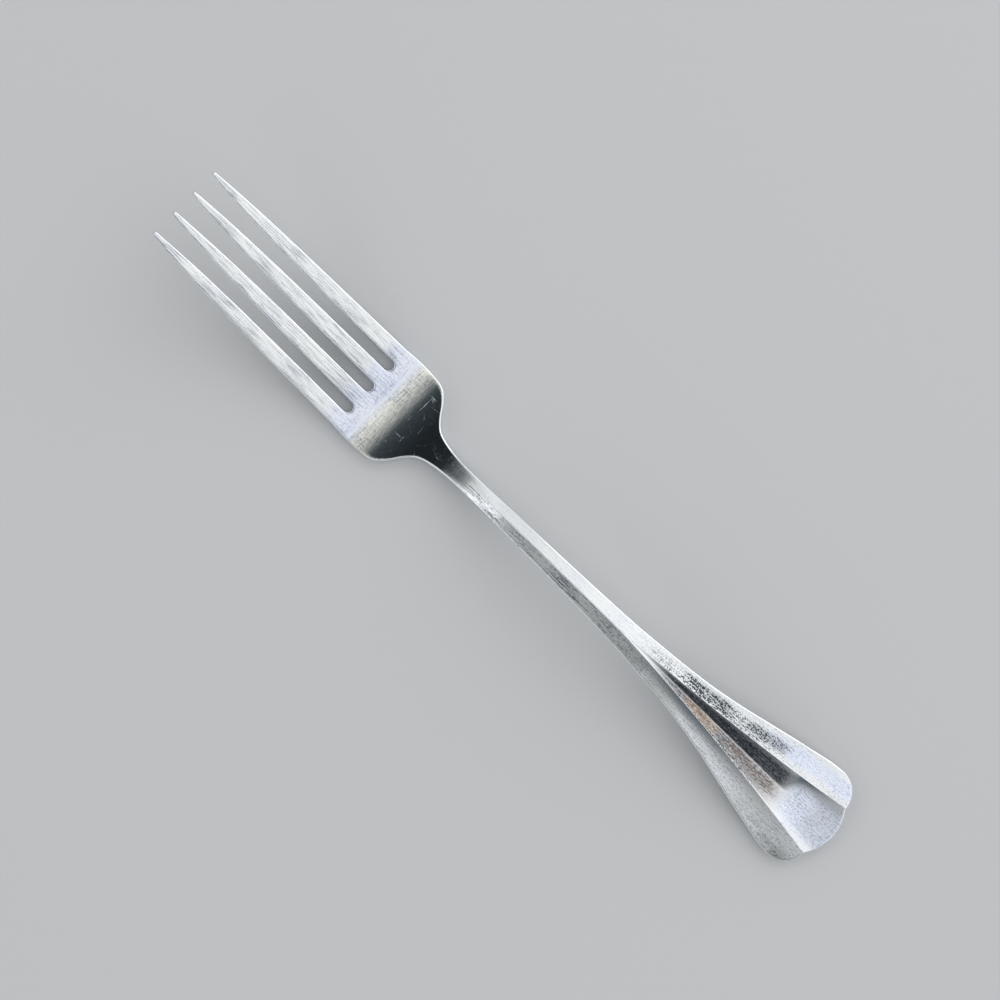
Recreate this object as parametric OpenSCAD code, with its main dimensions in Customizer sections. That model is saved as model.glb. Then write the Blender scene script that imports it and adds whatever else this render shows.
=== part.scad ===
// Dinner fork in one forging: four long tines, a flat head with round shoulders,
// a ridged handle, and a fluted fan end with two raised creases and a sunk valley.
// It is drawn as a flat blank, rounded and given its relief, and then bent along its side profile.
// It lies face up on the table: tines towards +Y, table at Z = 0, X across.

/* [Tines] */
// Length of a tine along its curve, from its tip to the middle of the slot's round end
tine_l = 58.6; // [48:0.1:70]
// Width of a tine at its root
tine_w = 4.1; // [3.2:0.05:4.8]
// Width of a tine at its tip
tip_w = 1.1; // [0.7:0.05:1.6]
// Spacing of the tines at their roots
root_pitch = 6.7; // [6.2:0.05:7.8]
// Spacing of the tines at their tips
tip_pitch = 6.15; // [5.2:0.05:7.2]
// Thickness of a tine at its tip
tip_t = 1.2; // [0.9:0.05:1.7]
// Thickness of a tine at its root
root_t = 2.2; // [1.8:0.05:2.8]
// Length over which a tip is rounded off
tip_round_l = 0.7; // [0.4:0.1:1.6]

/* [Head] */
// Length of the flat head behind the slots, up to the shoulders
palm_l = 10.5; // [8:0.5:14]
// How far the head swells past the tine roots on each side
palm_swell = 0.3; // [0.1:0.05:0.8]
// Length of the shoulders, from the head to the neck
shoulder_l = 20; // [14:0.5:26]
// Thickness of the head at its lowest point
heel_t = 2.3; // [1.9:0.05:3]

/* [Handle] */
// Width of the neck, the narrowest place of the handle
neck_w = 5; // [4:0.05:6]
// Thickness of the neck
neck_t = 3.7; // [3:0.05:4.6]
// Length of the ridged stretch, from the neck to where the ridge splits
shank_l = 51; // [40:0.5:62]
// Thickness where the ridge splits
split_t = 2.7; // [2.2:0.05:3.4]
// Height of the ridge over the side edges
ridge_h = 0.65; // [0.3:0.05:1]
// Width of the worn flat along the ridge
ridge_land = 0.2; // [0.1:0.05:0.8]
// Length of plain neck before the ridge begins
ridge_start_l = 2.5; // [0:0.5:12]
// Length over which the ridge rises out of the neck
ridge_rise_l = 12; // [6:0.5:20]
// Height of the crown across the back of the handle
back_crown = 0.35; // [0.1:0.05:0.7]

/* [Fan end] */
// Length of the fan, from the split of the ridge to its widest place
fan_l = 60; // [48:0.5:72]
// Width of the fan at its widest place
fan_w = 25.6; // [21:0.1:30]
// Thickness of the fan at its end
fan_t = 1.9; // [1.6:0.05:2.5]
// Radius of the two round lobes beside the creases
lobe_r = 5.9; // [4.5:0.1:7]
// How far the middle of the end stands out past the notches
end_bow = 2.4; // [1.5:0.1:3.5]
// Depth of the sunk valley between the creases
valley_depth = 1.1; // [0.5:0.05:1.3]
// Depth of the shallow pan that the valley opens into near the end
pan_depth = 0.7; // [0.2:0.05:0.9]
// Length of that shallow pan
pan_l = 14; // [8:0.5:20]
// Length over which the valley opens into the pan
pan_step_l = 4; // [2:0.5:8]

/* [Edges] */
// Radius of the edges on the front
edge_r = 0.4; // [0.3:0.05:0.6]
// Radius of the edges at the neck
neck_edge_r = 0.6; // [0.5:0.05:1.2]
// Radius of the edges on the back
back_edge_r = 0.65; // [0.4:0.05:0.8]

/* [Side profile] */
// Turn of the tines, in degrees
tine_turn = 24; // [14:1:34]
// Turn of the heel, in degrees
heel_turn = 27; // [18:1:34]
// Length of the heel's turn, from the slots to just past the neck
heel_l = 38; // [32:0.5:44]
// Turn of the arch in the handle, in degrees
arch_turn = 30; // [20:1:36]
// Length of the arch, which follows the heel's turn
arch_l = 52; // [42:1:64]
// Turn that lays the fan's end flat on the table, in degrees
end_turn = 12; // [6:0.5:15]
// Length of that turn
end_turn_l = 20; // [14:1:28]
// Wear of the heel and the fan's end where the fork rests on the table
rest_wear = 0.08; // [0.04:0.01:0.15]

/* [Hidden] */

// Counts of the blank's mesh: steps round an edge, round a slot's end, and from the middle
// of the handle to a crease.
edge_n = 2;
slot_n = 4;
crease_n = 3;
tine_count = 4;

// Columns run across the blank. Each tine has its two rounded edges and a flat between them.
tine_cols = 2 * edge_n + 1;
period = tine_cols + slot_n;
cols = tine_count * period - slot_n;
mid = cols / 2;
lobe_cols = mid - edge_n - crease_n;

// Places along the blank, measured from the tips.
palm_s = tine_l + palm_l;
neck_s = palm_s + shoulder_l;
split_s = neck_s + shank_l;
lobe_s = split_s + fan_l;
notch_s = lobe_s + lobe_r;
end_s = notch_s + end_bow;

// Half widths and radii that follow from the sizes above.
slot_r = (root_pitch - tine_w) / 2;
root_half = (tine_count - 1) / 2 * root_pitch + tine_w / 2;
fan_half = fan_w / 2;
notch_x = fan_half - lobe_r;
end_r = (notch_x * notch_x + end_bow * end_bow) / (2 * end_bow);

// Share of a tine's taper that falls near its tip, and how sharply.
tip_taper_share = 0.75;
tip_taper_power = 4;
// Share of its width and its thickness that a rounded edge may take.
edge_limit_share = 0.36;
// Share of its width that a tine keeps at the very end of its rounded tip.
tip_end_share = 0.6;

// Outline of the shoulders: shares of their length, and of the step from head to neck.
shoulder_shares = [
    [0, 0.97], [0.11, 0.92], [0.23, 0.725], [0.35, 0.39],
    [0.47, 0.165], [0.59, 0.085], [0.75, 0.035], [1, 0]
];
// Outline of the handle: shares of the way from neck to fan, and of the step between them.
flare_shares = [
    [0.22, 0.02], [0.44, 0.085], [0.55, 0.17], [0.65, 0.28],
    [0.735, 0.43], [0.82, 0.63], [0.905, 0.83], [1, 1]
];
// Where the swell of the head is widest, as a share of the head's length.
swell_share = 0.5;
// How evenly the creases spread: the straight share, the rest being a curve.
crease_line_share = 0.55;
// Where the lobes are fully hollow and the valley fully deep, as shares of the fan's length.
hollow_full_share = 0.42;
valley_full_share = 0.75;
// Exponent that turns the valley's straight walls into the pan's flat floor.
pan_power = 3;

// One radian in degrees.
degrees = 180 / PI;

// Smooth curves through hand-chosen knots.
function lerp(a, b, t) = a + (b - a) * t;
function ease(t) = let (c = max(0, min(1, t))) c * c * (3 - 2 * c);
function chord_slope(knots, i) = (knots[i + 1][1] - knots[i][1]) / (knots[i + 1][0] - knots[i][0]);
function joined_slope(before, after) = before * after <= 0 ? 0 : 2 * before * after / (before + after);
function knot_slope(knots, i) =
    i == 0 ? chord_slope(knots, 0) :
    i == len(knots) - 1 ? 0 :
    joined_slope(chord_slope(knots, i - 1), chord_slope(knots, i));
function span_of(knots, s) = max([for (i = [0 : len(knots) - 2]) if (i == 0 || s >= knots[i][0]) i]);
function hermite(v0, m0, v1, m1, t) =
    v0 * (2 * t * t * t - 3 * t * t + 1) + m0 * (t * t * t - 2 * t * t + t)
    + v1 * (3 * t * t - 2 * t * t * t) + m1 * (t * t * t - t * t);
function curve(knots, s) =
    let (i = span_of(knots, s))
    let (span = knots[i + 1][0] - knots[i][0])
    let (t = max(0, min(1, (s - knots[i][0]) / span)))
    hermite(
        knots[i][1], knot_slope(knots, i) * span,
        knots[i + 1][1], knot_slope(knots, i + 1) * span, t
    );

// Half width of the blank behind the slots.
half_knots = concat(
    [[tine_l, root_half], [lerp(tine_l, palm_s, swell_share), root_half + palm_swell]],
    [for (k = shoulder_shares) [lerp(palm_s, neck_s, k[0]), lerp(neck_w / 2, root_half + palm_swell, k[1])]],
    [for (k = flare_shares) [lerp(neck_s, lobe_s, k[0]), lerp(neck_w / 2, fan_half, k[1])]]
);
function half_at(s) = curve(half_knots, s);

// Thickness, before the relief and the crown are added.
thick_knots = [
    [0, tip_t], [tine_l, root_t], [palm_s, heel_t], [neck_s, neck_t],
    [split_s, split_t], [lobe_s, fan_t], [end_s, fan_t]
];
function thick_at(s) = curve(thick_knots, s);

// Tines: spacing, and a width that tapers gently and then quickly to a rounded tip.
function pitch_at(s) = lerp(tip_pitch, root_pitch, min(1, s / tine_l));
function taper_at(u) = lerp(u, 1 - pow(1 - u, tip_taper_power), tip_taper_share);
function tip_round_at(s) =
    let (back = max(0, 1 - s / tip_round_l))
    lerp(tip_end_share, 1, sqrt(1 - back * back));
function tine_w_at(s) = lerp(tip_w, tine_w, taper_at(min(1, s / tine_l))) * tip_round_at(s);

// Edge radius on the front and on the back, eased into the neck and limited by the wall.
function radius_knots(r) = [[palm_s, r], [neck_s, max(r, neck_edge_r)], [split_s, r], [lobe_s, r]];
function body_r_at(s, front) =
    min(curve(radius_knots(front ? edge_r : back_edge_r), s), edge_limit_share * thick_at(s));
function tine_r_at(s, front) =
    min(front ? edge_r : back_edge_r, edge_limit_share * tine_w_at(s), edge_limit_share * thick_at(s));
function step_back(k, r) = r * (1 - cos(90 * k / edge_n));
function edge_drop(depth, r) =
    let (left = r - max(0, min(r, depth)))
    r - sqrt(r * r - left * left);

// Place of column i across one tine or slot, for a tine of width w and edges of radius r.
function tine_x(i, pitch, w, r) =
    let (k = floor(i / period))
    let (m = i - k * period)
    let (middle = (k - (tine_count - 1) / 2) * pitch)
    m <= edge_n ? middle - w / 2 + step_back(m, r) :
    m <= tine_cols ? middle + w / 2 - step_back(tine_cols - m, r) :
    middle + pitch / 2 - (pitch - w) / 2 * cos(180 * (m - tine_cols) / slot_n);

// Place of column i across the handle: groove, lobe or facet, then the rounded edge.
function crease_x_at(s) =
    let (u = max(0, min(1, (s - split_s) / (notch_s - split_s))))
    lerp(ridge_land / 2, notch_x, lerp(u * u, u, crease_line_share));
function handle_x(j, half, crease, r) =
    j <= crease_n ? crease * j / crease_n :
    j <= mid - edge_n ? lerp(crease, half - r, (j - crease_n) / lobe_cols) :
    half - step_back(mid - j, r);
function body_x(i, s, front) =
    let (r = body_r_at(s, front))
    let (half = half_at(s))
    let (swept = handle_x(abs(i - mid), half, crease_x_at(s), r) * sign(i - mid))
    lerp(tine_x(i, root_pitch, tine_w, r) * half / root_half, swept, ease((s - palm_s) / shoulder_l));

// A flat point is [place along the blank, place across it, depth in from the nearest edge].
function tine_point(i, s, front) =
    let (r = tine_r_at(s, front))
    let (w = tine_w_at(s))
    let (x = tine_x(i, pitch_at(s), w, r))
    let (middle = (floor(i / period) - (tine_count - 1) / 2) * pitch_at(s))
    [s, x, min(w / 2 - abs(x - middle), s)];

// Round the slots' ends the rows bow backwards, at a given share of the edge radius.
function off_slot(x) =
    min([for (k = [0 : tine_count - 2]) abs(x - (k - (tine_count - 2) / 2) * root_pitch)]);
function slot_point(i, share, front) =
    let (r = tine_r_at(tine_l, front))
    let (x = tine_x(i, root_pitch, tine_w, r))
    let (inset = share * r)
    let (reach = slot_r + inset)
    let (bow = sqrt(max(0, reach * reach - off_slot(x) * off_slot(x))))
    let (ahead = max(bow, inset))
    [tine_l + ahead, x, min(root_half - abs(x), sqrt(pow(off_slot(x), 2) + ahead * ahead) - slot_r)];

function body_point(i, s, front) =
    let (x = body_x(i, s, front))
    [s, x, half_at(s) - abs(x)];

// Outline of the fan's end at a given inset: a lobe on each side and a bow between the notches.
function lobe_point(angle, inset, side) =
    [lobe_s + (lobe_r - inset) * sin(angle), side * (notch_x + (lobe_r - inset) * cos(angle)), inset];
function bow_point(angle, inset, side) =
    [end_s - end_r + (end_r - inset) * cos(angle), side * (end_r - inset) * sin(angle), inset];
function corner_point(step, inset, side) =
    let (along = step - inset)
    let (depth = min(step, inset))
    along < 0 ? [lobe_s + along, side * (fan_half - depth), depth] :
    lobe_point(along / lobe_r * degrees, depth, side);
function end_point(i, share, front) =
    let (r = body_r_at(lobe_s, front))
    let (inset = share * r)
    let (j = abs(i - mid))
    let (side = i < mid ? -1 : 1)
    let (first = (r - inset) / lobe_r * degrees)
    j < crease_n ? bow_point(asin(notch_x / end_r) * j / crease_n, inset, side) :
    j <= mid - edge_n ? lobe_point(lerp(90, first, (j - crease_n) / lobe_cols), inset, side) :
    corner_point(step_back(mid - j, r), inset, side);

// Relief of the front: a ridge with two facets, which splits into two creases with hollow
// lobes outside them and a sunk valley between them.
function pan_at(s) = ease((s - (notch_s - pan_l)) / pan_step_l);
function valley_at(s) =
    lerp(valley_depth * ease((s - split_s) / (fan_l * valley_full_share)), pan_depth, pan_at(s));
function groove_shape(g, s) = 1 - pow(g, lerp(1, pan_power, pan_at(s)));
function lobe_shape(u, s) =
    lerp(1 - u, (1 - u) * (1 - u), ease((s - split_s) / (fan_l * hollow_full_share)));
function relief_at(i, s) =
    let (j = abs(i - mid))
    let (u = min(1, (j - crease_n) / lobe_cols))
    let (raised = ridge_h * ease((s - neck_s - ridge_start_l) / ridge_rise_l))
    j < crease_n ? raised - valley_at(s) * groove_shape(j / crease_n, s) : raised * lobe_shape(u, s);

// Crown across the back, from the neck on.
function crown_at(x, s) =
    let (v = min(1, abs(x) / half_at(s)))
    back_crown * ease((s - palm_s) / shoulder_l) * (1 - v * v);

// Side profile: stretches of [length, turn], each an arc that runs on from the one before.
// A place on it is [along Y, along Z, heading in degrees], before the fork is tipped.
straight_l = end_s - tine_l - heel_l - arch_l - end_turn_l;
stretches = [
    [tine_l, tine_turn], [heel_l, heel_turn], [arch_l, -arch_turn],
    [straight_l, 0], [end_turn_l, end_turn]
];
function arc_end(start, l, turn) =
    let (heading = start[2] + turn)
    let (arc_r = turn == 0 ? 0 : l / turn * degrees)
    let (along = turn == 0 ? l * cos(heading) : arc_r * (sin(heading) - sin(start[2])))
    let (up = turn == 0 ? l * sin(heading) : arc_r * (cos(start[2]) - cos(heading)))
    [start[0] - along, start[1] + up, heading];
function spine(s, k, start) =
    let (l = stretches[k][0], turn = stretches[k][1])
    s <= l || k == len(stretches) - 1 ? arc_end(start, s, turn * s / l) :
    spine(s - l, k + 1, arc_end(start, l, turn));
function bend(s, rise) =
    let (foot = spine(s, 0, [0, 0, -tine_turn]))
    [foot[0] + rise * sin(foot[2]), foot[1] + rise * cos(foot[2])];

// The fork tips until its heel and its fan's end both touch the table.
under_step_share = 1 / 90;
tip_limit = 30;
halvings = 24;
function under_height(s, pitch) =
    let (p = bend(s, -thick_at(s) / 2 - crown_at(0, s)))
    p[0] * sin(pitch) + p[1] * cos(pitch);
function lowest(from, to, pitch) =
    min([for (k = [0 : under_step_share : 1]) under_height(lerp(from, to, k), pitch)]);
function settle(low, high, n) =
    let (pitch = (low + high) / 2)
    n == 0 ? pitch :
    lowest(0, neck_s, pitch) > lowest(neck_s, end_s, pitch) ? settle(low, pitch, n - 1) :
    settle(pitch, high, n - 1);
rest_pitch = settle(-tip_limit, tip_limit, halvings);
table_z = min(lowest(0, neck_s, rest_pitch), lowest(neck_s, end_s, rest_pitch)) + rest_wear;

// Rows run along the blank. The shares of each stretch are chosen by hand.
tip_row_shares = [0, 0.15, 0.5, 1];
slot_row_shares = [for (k = [0 : edge_n]) 1 - cos(90 * k / edge_n)];
end_row_shares = [for (k = [edge_n : -1 : 0]) 1 - cos(90 * k / edge_n)];
tine_rows = 13;
palm_rows = 4;
shoulder_rows = 13;
shank_rows = 14;
fan_rows = 21;
end_rows = 4;
palm_start_s = tine_l + slot_r + 2 * edge_r;
fan_end_s = lobe_s - lobe_r / 2;

function tine_row(s, front) = [for (i = [0 : cols]) tine_point(i, s, front)];
function slot_row(share, front) = [for (i = [0 : cols]) slot_point(i, share, front)];
function body_row(s, front) = [for (i = [0 : cols]) body_point(i, s, front)];
function end_row(share, front) = [for (i = [0 : cols]) end_point(i, share, front)];
function between_row(t, front) =
    [for (i = [0 : cols]) lerp(body_point(i, fan_end_s, front), end_point(i, 1, front), t)];
function steps(from, to, n) = [for (k = [1 : n]) lerp(from, to, k / n)];

function rows(front) = concat(
    [for (share = tip_row_shares) tine_row(share * tip_round_l, front)],
    [for (k = [1 : tine_rows]) tine_row(lerp(tip_round_l, tine_l, k / (tine_rows + 1)), front)],
    [for (share = slot_row_shares) slot_row(share, front)],
    [for (s = concat([palm_start_s], steps(palm_start_s, palm_s, palm_rows))) body_row(s, front)],
    [for (s = steps(palm_s, neck_s, shoulder_rows)) body_row(s, front)],
    [for (s = steps(neck_s, split_s, shank_rows)) body_row(s, front)],
    [for (s = steps(split_s, fan_end_s, fan_rows)) body_row(s, front)],
    [for (t = steps(0, 1, end_rows - 1)) between_row(t, front)],
    [for (k = [1 : edge_n]) end_row(end_row_shares[k], front)]
);

// The bent skin: a flat point gets its height, is bent, tipped and set on the table.
function radius_for(s, front) = s <= tine_l ? tine_r_at(s, front) : body_r_at(s, front);
function height(i, p, front) =
    let (drop = edge_drop(p[2], radius_for(p[0], front)))
    front ? thick_at(p[0]) / 2 + relief_at(i, p[0]) - drop :
    drop - thick_at(p[0]) / 2 - crown_at(p[1], p[0]);
function placed(i, p, front) =
    let (q = bend(p[0], height(i, p, front)))
    let (y = q[0] * cos(rest_pitch) - q[1] * sin(rest_pitch))
    let (z = q[0] * sin(rest_pitch) + q[1] * cos(rest_pitch))
    [p[1], y, max(0, z - table_z)];
function skin_points(front) = [for (row = rows(front)) for (i = [0 : cols]) placed(i, row[i], front)];

top = skin_points(true);
under = skin_points(false);
skin = concat(top, under);
row_count = len(top) / (cols + 1);
slot_row_at = len(tip_row_shares) + tine_rows;
y_middle = (max([for (p = skin) p[1]]) + min([for (p = skin) p[1]])) / 2;

// A cell lies between two rows and two columns. In front of the slots only the tines have cells.
function is_cell(row, i) =
    row >= 0 && row < row_count - 1 && i >= 0 && i < cols && (row >= slot_row_at || i % period < tine_cols);
function corner(row, i) = row * (cols + 1) + i;
function below(index) = index + len(top);
function two_triangles(a, b, c, d, mirrored) = mirrored ? [[a, b, d], [b, c, d]] : [[a, b, c], [a, c, d]];
function wall(a, b) = two_triangles(b, a, below(a), below(b), false);
function cell_faces(row, i) =
    let (a = corner(row, i), b = corner(row, i + 1), c = corner(row + 1, i + 1), d = corner(row + 1, i))
    concat(
        two_triangles(a, b, c, d, i >= mid),
        two_triangles(below(b), below(a), below(d), below(c), i >= mid),
        is_cell(row - 1, i) ? [] : wall(a, b),
        is_cell(row, i + 1) ? [] : wall(b, c),
        is_cell(row + 1, i) ? [] : wall(c, d),
        is_cell(row, i - 1) ? [] : wall(d, a)
    );

module fork() {
    color("silver")
        translate([0, -y_middle, 0])
            polyhedron(
                points = skin,
                faces = [
                    for (row = [0 : row_count - 2]) for (i = [0 : cols - 1])
                        if (is_cell(row, i)) each cell_faces(row, i)
                ],
                convexity = 8
            );
}

fork();
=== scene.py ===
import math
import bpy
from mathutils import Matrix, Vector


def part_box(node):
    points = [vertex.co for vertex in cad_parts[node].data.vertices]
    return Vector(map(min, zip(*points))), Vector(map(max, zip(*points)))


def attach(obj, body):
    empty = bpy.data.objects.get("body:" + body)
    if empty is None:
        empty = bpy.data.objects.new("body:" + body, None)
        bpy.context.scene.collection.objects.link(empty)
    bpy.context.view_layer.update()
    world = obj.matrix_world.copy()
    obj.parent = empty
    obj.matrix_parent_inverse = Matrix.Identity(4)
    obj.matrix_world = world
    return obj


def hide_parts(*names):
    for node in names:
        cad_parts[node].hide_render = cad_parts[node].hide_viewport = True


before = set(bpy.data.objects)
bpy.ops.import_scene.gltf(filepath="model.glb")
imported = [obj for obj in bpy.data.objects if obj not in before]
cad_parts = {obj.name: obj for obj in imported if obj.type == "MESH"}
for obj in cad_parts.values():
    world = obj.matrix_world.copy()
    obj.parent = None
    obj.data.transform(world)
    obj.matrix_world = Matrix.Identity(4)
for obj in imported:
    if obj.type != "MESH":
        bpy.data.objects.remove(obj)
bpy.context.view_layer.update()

# Dinner fork in worn silver plate, lying face up: one forging with four long tines, a flat
# head, a ridged handle and a fluted fan end. The mesh is worked out from the same sizes as the
# solid, only finer: a flat blank in rows and columns, rounded, given its relief and bent.
from types import SimpleNamespace

import bpy
import numpy as np
from mathutils import Matrix, Vector

MM = 0.001

# Tines, in millimetres
TINES = 4
TINE_L = 58.6
TINE_W = 4.1
TIP_W = 1.1
ROOT_PITCH = 6.7
TIP_PITCH = 6.15
TIP_T = 1.2
ROOT_T = 2.2
TIP_ROUND_L = 0.7
TIP_TAPER_SHARE = 0.75
TIP_TAPER_POWER = 4
TIP_END_SHARE = 0.6

# Head, in millimetres
PALM_L = 10.5
PALM_SWELL = 0.3
SHOULDER_L = 20
HEEL_T = 2.3

# Handle, in millimetres
NECK_W = 5
NECK_T = 3.7
SHANK_L = 51
SPLIT_T = 2.7
RIDGE_H = 0.65
RIDGE_LAND = 0.2
RIDGE_START_L = 2.5
RIDGE_RISE_L = 12
BACK_CROWN = 0.35
NECK_POLISH = 0.22
NECK_POLISH_POWER = 4

# Fan end, in millimetres
FAN_L = 60
FAN_W = 25.6
FAN_T = 1.9
LOBE_R = 5.9
END_BOW = 2.4
VALLEY_DEPTH = 1.1
PAN_DEPTH = 0.7
PAN_L = 14
PAN_STEP_L = 4
SOFT_CREASE_L = 3

# Edges, in millimetres
EDGE_R = 0.4
NECK_EDGE_R = 0.6
BACK_EDGE_R = 0.65
EDGE_LIMIT_SHARE = 0.36

# Side profile, in degrees and millimetres
TINE_TURN = 24
HEEL_L = 38
HEEL_TURN = 27
ARCH_TURN = 30
ARCH_L = 52
END_TURN = 12
END_TURN_L = 20
REST_WEAR = 0.08

# Outlines: shares of the stretch's length, and of the step in half width along it
SHOULDER_SHARES = [
    (0, 0.97), (0.11, 0.92), (0.23, 0.725), (0.35, 0.39), (0.47, 0.165), (0.59, 0.085),
    (0.75, 0.035), (1, 0),
]
FLARE_SHARES = [
    (0.22, 0.02), (0.44, 0.085), (0.55, 0.17), (0.65, 0.28), (0.735, 0.43), (0.82, 0.63),
    (0.905, 0.83), (1, 1),
]
SWELL_SHARE = 0.5
CREASE_LINE_SHARE = 0.55
HOLLOW_FULL_SHARE = 0.42
VALLEY_FULL_SHARE = 0.75
PAN_POWER = 3

# How fine the mesh is: steps round an edge, across a tine's flat, round a slot's end, from
# the middle of the handle to a crease, and the spacing of the rows in millimetres
EDGE_N = 5
FLAT_N = 4
SLOT_N = 12
CREASE_N = 10
ROW_GAP = 0.7

# Marks in the finish, in millimetres: how wide and long the lines from wiping, the clouds, the
# lines across the head and the scores are, how deep the wiped lines are, how wide the patches
# and specks are, and how far in from an edge the wear is rubbed off
WIPE_W, WIPE_L = 0.26, 7
CLOUD_W, CLOUD_L = 0.45, 0.9
CROSS_W, CROSS_L = 3, 0.36
SCORE_W, SCORE_L = 0.2, 5
WIPE_DEPTH = 0.03
PATCH_W = 8
SPECK_W = 0.33
RUBBED_EDGE = (0.1, 0.5)

# Scratches on the heel: the places across and along the blank of both ends, and the half width
SCRATCHES = [
    ((8.9, 71.4), (3.6, 71.2), 0.1), ((8.4, 70.4), (8.4, 73.0), 0.08), ((6.6, 72.3), (6.9, 75.4), 0.03),
    ((-3.3, 70.6), (-3.3, 73.0), 0.06), ((-2.2, 72.9), (-4.6, 72.9), 0.06), ((4.2, 72.8), (3.2, 73.6), 0.07),
    ((-5.4, 78.4), (-3.2, 77.1), 0.03), ((2.5, 74.5), (-0.8, 74.8), 0.03), ((-1.0, 82.6), (-0.5, 80.9), 0.05),
]

# Colours, in sRGB. Cream and lavender silver also paint reflection tints, and the cloud grey also paints
# shade on the left sides
CREAM_SILVER_AND_REFLECTION = "#f4f5ee"
LAVENDER_SILVER_AND_REFLECTION = "#dae3fb"
CLOUD_AND_SHADE_GREY = "#3f494b"
TARNISH_GREY = "#595c65"
TARNISH_BROWN = "#a48a6c"
PIT_BROWN = "#5b574f"
PAPER_GREY = "#d0d2d4"
DOME_SHADE = "#cbe1ee"
DOME_LIGHT = "#ffffff"

# Stage, in metres: the floor, the softbox and the camera. The softbox's power is in watts, the
# camera's lens in millimetres, and the way up for the camera is a direction
FLOOR_HALF = 12
SOFTBOX_PLACE = (0.84, -0.1, 0.42)
SOFTBOX_SIDE = 0.7
SOFTBOX_POWER = 1.2
CAMERA_PLACE = (-0.0085, -0.0067, 0.3994)
CAMERA_AIM = (0.0024, 0.0063, 0)
CAMERA_UP = (0.7149, 0.6979, 0.0422)
CAMERA_LENS = 62.5

# Studio dome, in parts of a direction of length one: the middle and the half sizes of the dark
# card above the tines, and the direction of the dim corner
CARD_Y = 0.42
CARD_HALF_X = 0.36
CARD_HALF_Y = 0.33
DIM_CORNER = (-0.8, -0.6, 0)

TINE_COLS = 2 * EDGE_N + FLAT_N
PERIOD = TINE_COLS + SLOT_N
COLS = TINES * PERIOD - SLOT_N
MID = COLS // 2
LOBE_COLS = MID - EDGE_N - CREASE_N
COLUMN = np.arange(COLS + 1)
FROM_MIDDLE = np.abs(COLUMN - MID)
SIDE = np.where(COLUMN < MID, -1.0, 1.0)

# Places along the blank, measured from the tips
PALM_S = TINE_L + PALM_L
NECK_S = PALM_S + SHOULDER_L
SPLIT_S = NECK_S + SHANK_L
LOBE_S = SPLIT_S + FAN_L
NOTCH_S = LOBE_S + LOBE_R
END_S = NOTCH_S + END_BOW
SLOT_R = (ROOT_PITCH - TINE_W) / 2
ROOT_HALF = (TINES - 1) / 2 * ROOT_PITCH + TINE_W / 2
HEAD_HALF = ROOT_HALF + PALM_SWELL
FAN_HALF = FAN_W / 2
NOTCH_X = FAN_HALF - LOBE_R
END_R = (NOTCH_X ** 2 + END_BOW ** 2) / (2 * END_BOW)

# Where the straight rows of the whole blank begin behind the slots, and end before the lobes
PALM_START_S = TINE_L + SLOT_R + 2 * EDGE_R
FAN_END_S = LOBE_S - LOBE_R / 2

# The stretch of the neck that is polished round: start, end and the fade beyond them
NECK_POLISHED = (NECK_S - 4, NECK_S + 6, 8)


# Smooth steps and curves

def lerp(a, b, t):
    return a + (b - a) * t


def ease(t):
    t = np.clip(t, 0, 1)
    return t * t * (3 - 2 * t)


def past(value, start, length):
    """Nothing up to start, and one from a length beyond it."""
    return ease((value - start) / length)


def band(value, start, end, fade):
    """One between start and end, and nothing a fade beyond them."""
    return ease((value - start) / fade + 1) * ease((end - value) / fade + 1)


def curve(knots, s):
    """A smooth curve through (place, value) knots that never swings past them."""
    place, value = np.array(knots, float).T
    chord = np.diff(value) / np.diff(place)
    before, after = chord[:-1], chord[1:]
    same_way = before * after > 0
    inner = np.where(same_way, 2 * before * after / np.where(same_way, before + after, 1), 0)
    slope = np.concatenate([chord[:1], inner, [0]])
    s = np.clip(s, place[0], place[-1])
    i = np.clip(np.searchsorted(place, s, side="right") - 1, 0, len(place) - 2)
    span = place[i + 1] - place[i]
    t = (s - place[i]) / span
    start = value[i] * (2 * t ** 3 - 3 * t ** 2 + 1) + slope[i] * span * (t ** 3 - 2 * t ** 2 + t)
    return start + value[i + 1] * (3 * t ** 2 - 2 * t ** 3) + slope[i + 1] * span * (t ** 3 - t ** 2)


# Outline and thickness of the blank

HALF_KNOTS = (
    [(TINE_L, ROOT_HALF), (lerp(TINE_L, PALM_S, SWELL_SHARE), HEAD_HALF)]
    + [(lerp(PALM_S, NECK_S, a), lerp(NECK_W / 2, HEAD_HALF, b)) for a, b in SHOULDER_SHARES]
    + [(lerp(NECK_S, LOBE_S, a), lerp(NECK_W / 2, FAN_HALF, b)) for a, b in FLARE_SHARES]
)
THICK_KNOTS = [
    (0, TIP_T), (TINE_L, ROOT_T), (PALM_S, HEEL_T), (NECK_S, NECK_T), (SPLIT_S, SPLIT_T),
    (LOBE_S, FAN_T), (END_S, FAN_T),
]


def half_at(s):
    return curve(HALF_KNOTS, s)


def thick_at(s):
    return curve(THICK_KNOTS, s)


def pitch_at(s):
    return lerp(TIP_PITCH, ROOT_PITCH, np.minimum(1, s / TINE_L))


def tine_w_at(s):
    u = np.minimum(1, s / TINE_L)
    taper = lerp(u, 1 - (1 - u) ** TIP_TAPER_POWER, TIP_TAPER_SHARE)
    back = np.maximum(0, 1 - s / TIP_ROUND_L)
    return lerp(TIP_W, TINE_W, taper) * lerp(TIP_END_SHARE, 1, np.sqrt(1 - back ** 2))


def body_r_at(s, front):
    r = EDGE_R if front else BACK_EDGE_R
    knots = [(PALM_S, r), (NECK_S, max(r, NECK_EDGE_R)), (SPLIT_S, r), (LOBE_S, r)]
    return np.minimum(curve(knots, s), EDGE_LIMIT_SHARE * thick_at(s))


def tine_r_at(s, front):
    r = EDGE_R if front else BACK_EDGE_R
    return np.minimum(np.minimum(r, EDGE_LIMIT_SHARE * tine_w_at(s)), EDGE_LIMIT_SHARE * thick_at(s))


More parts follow.
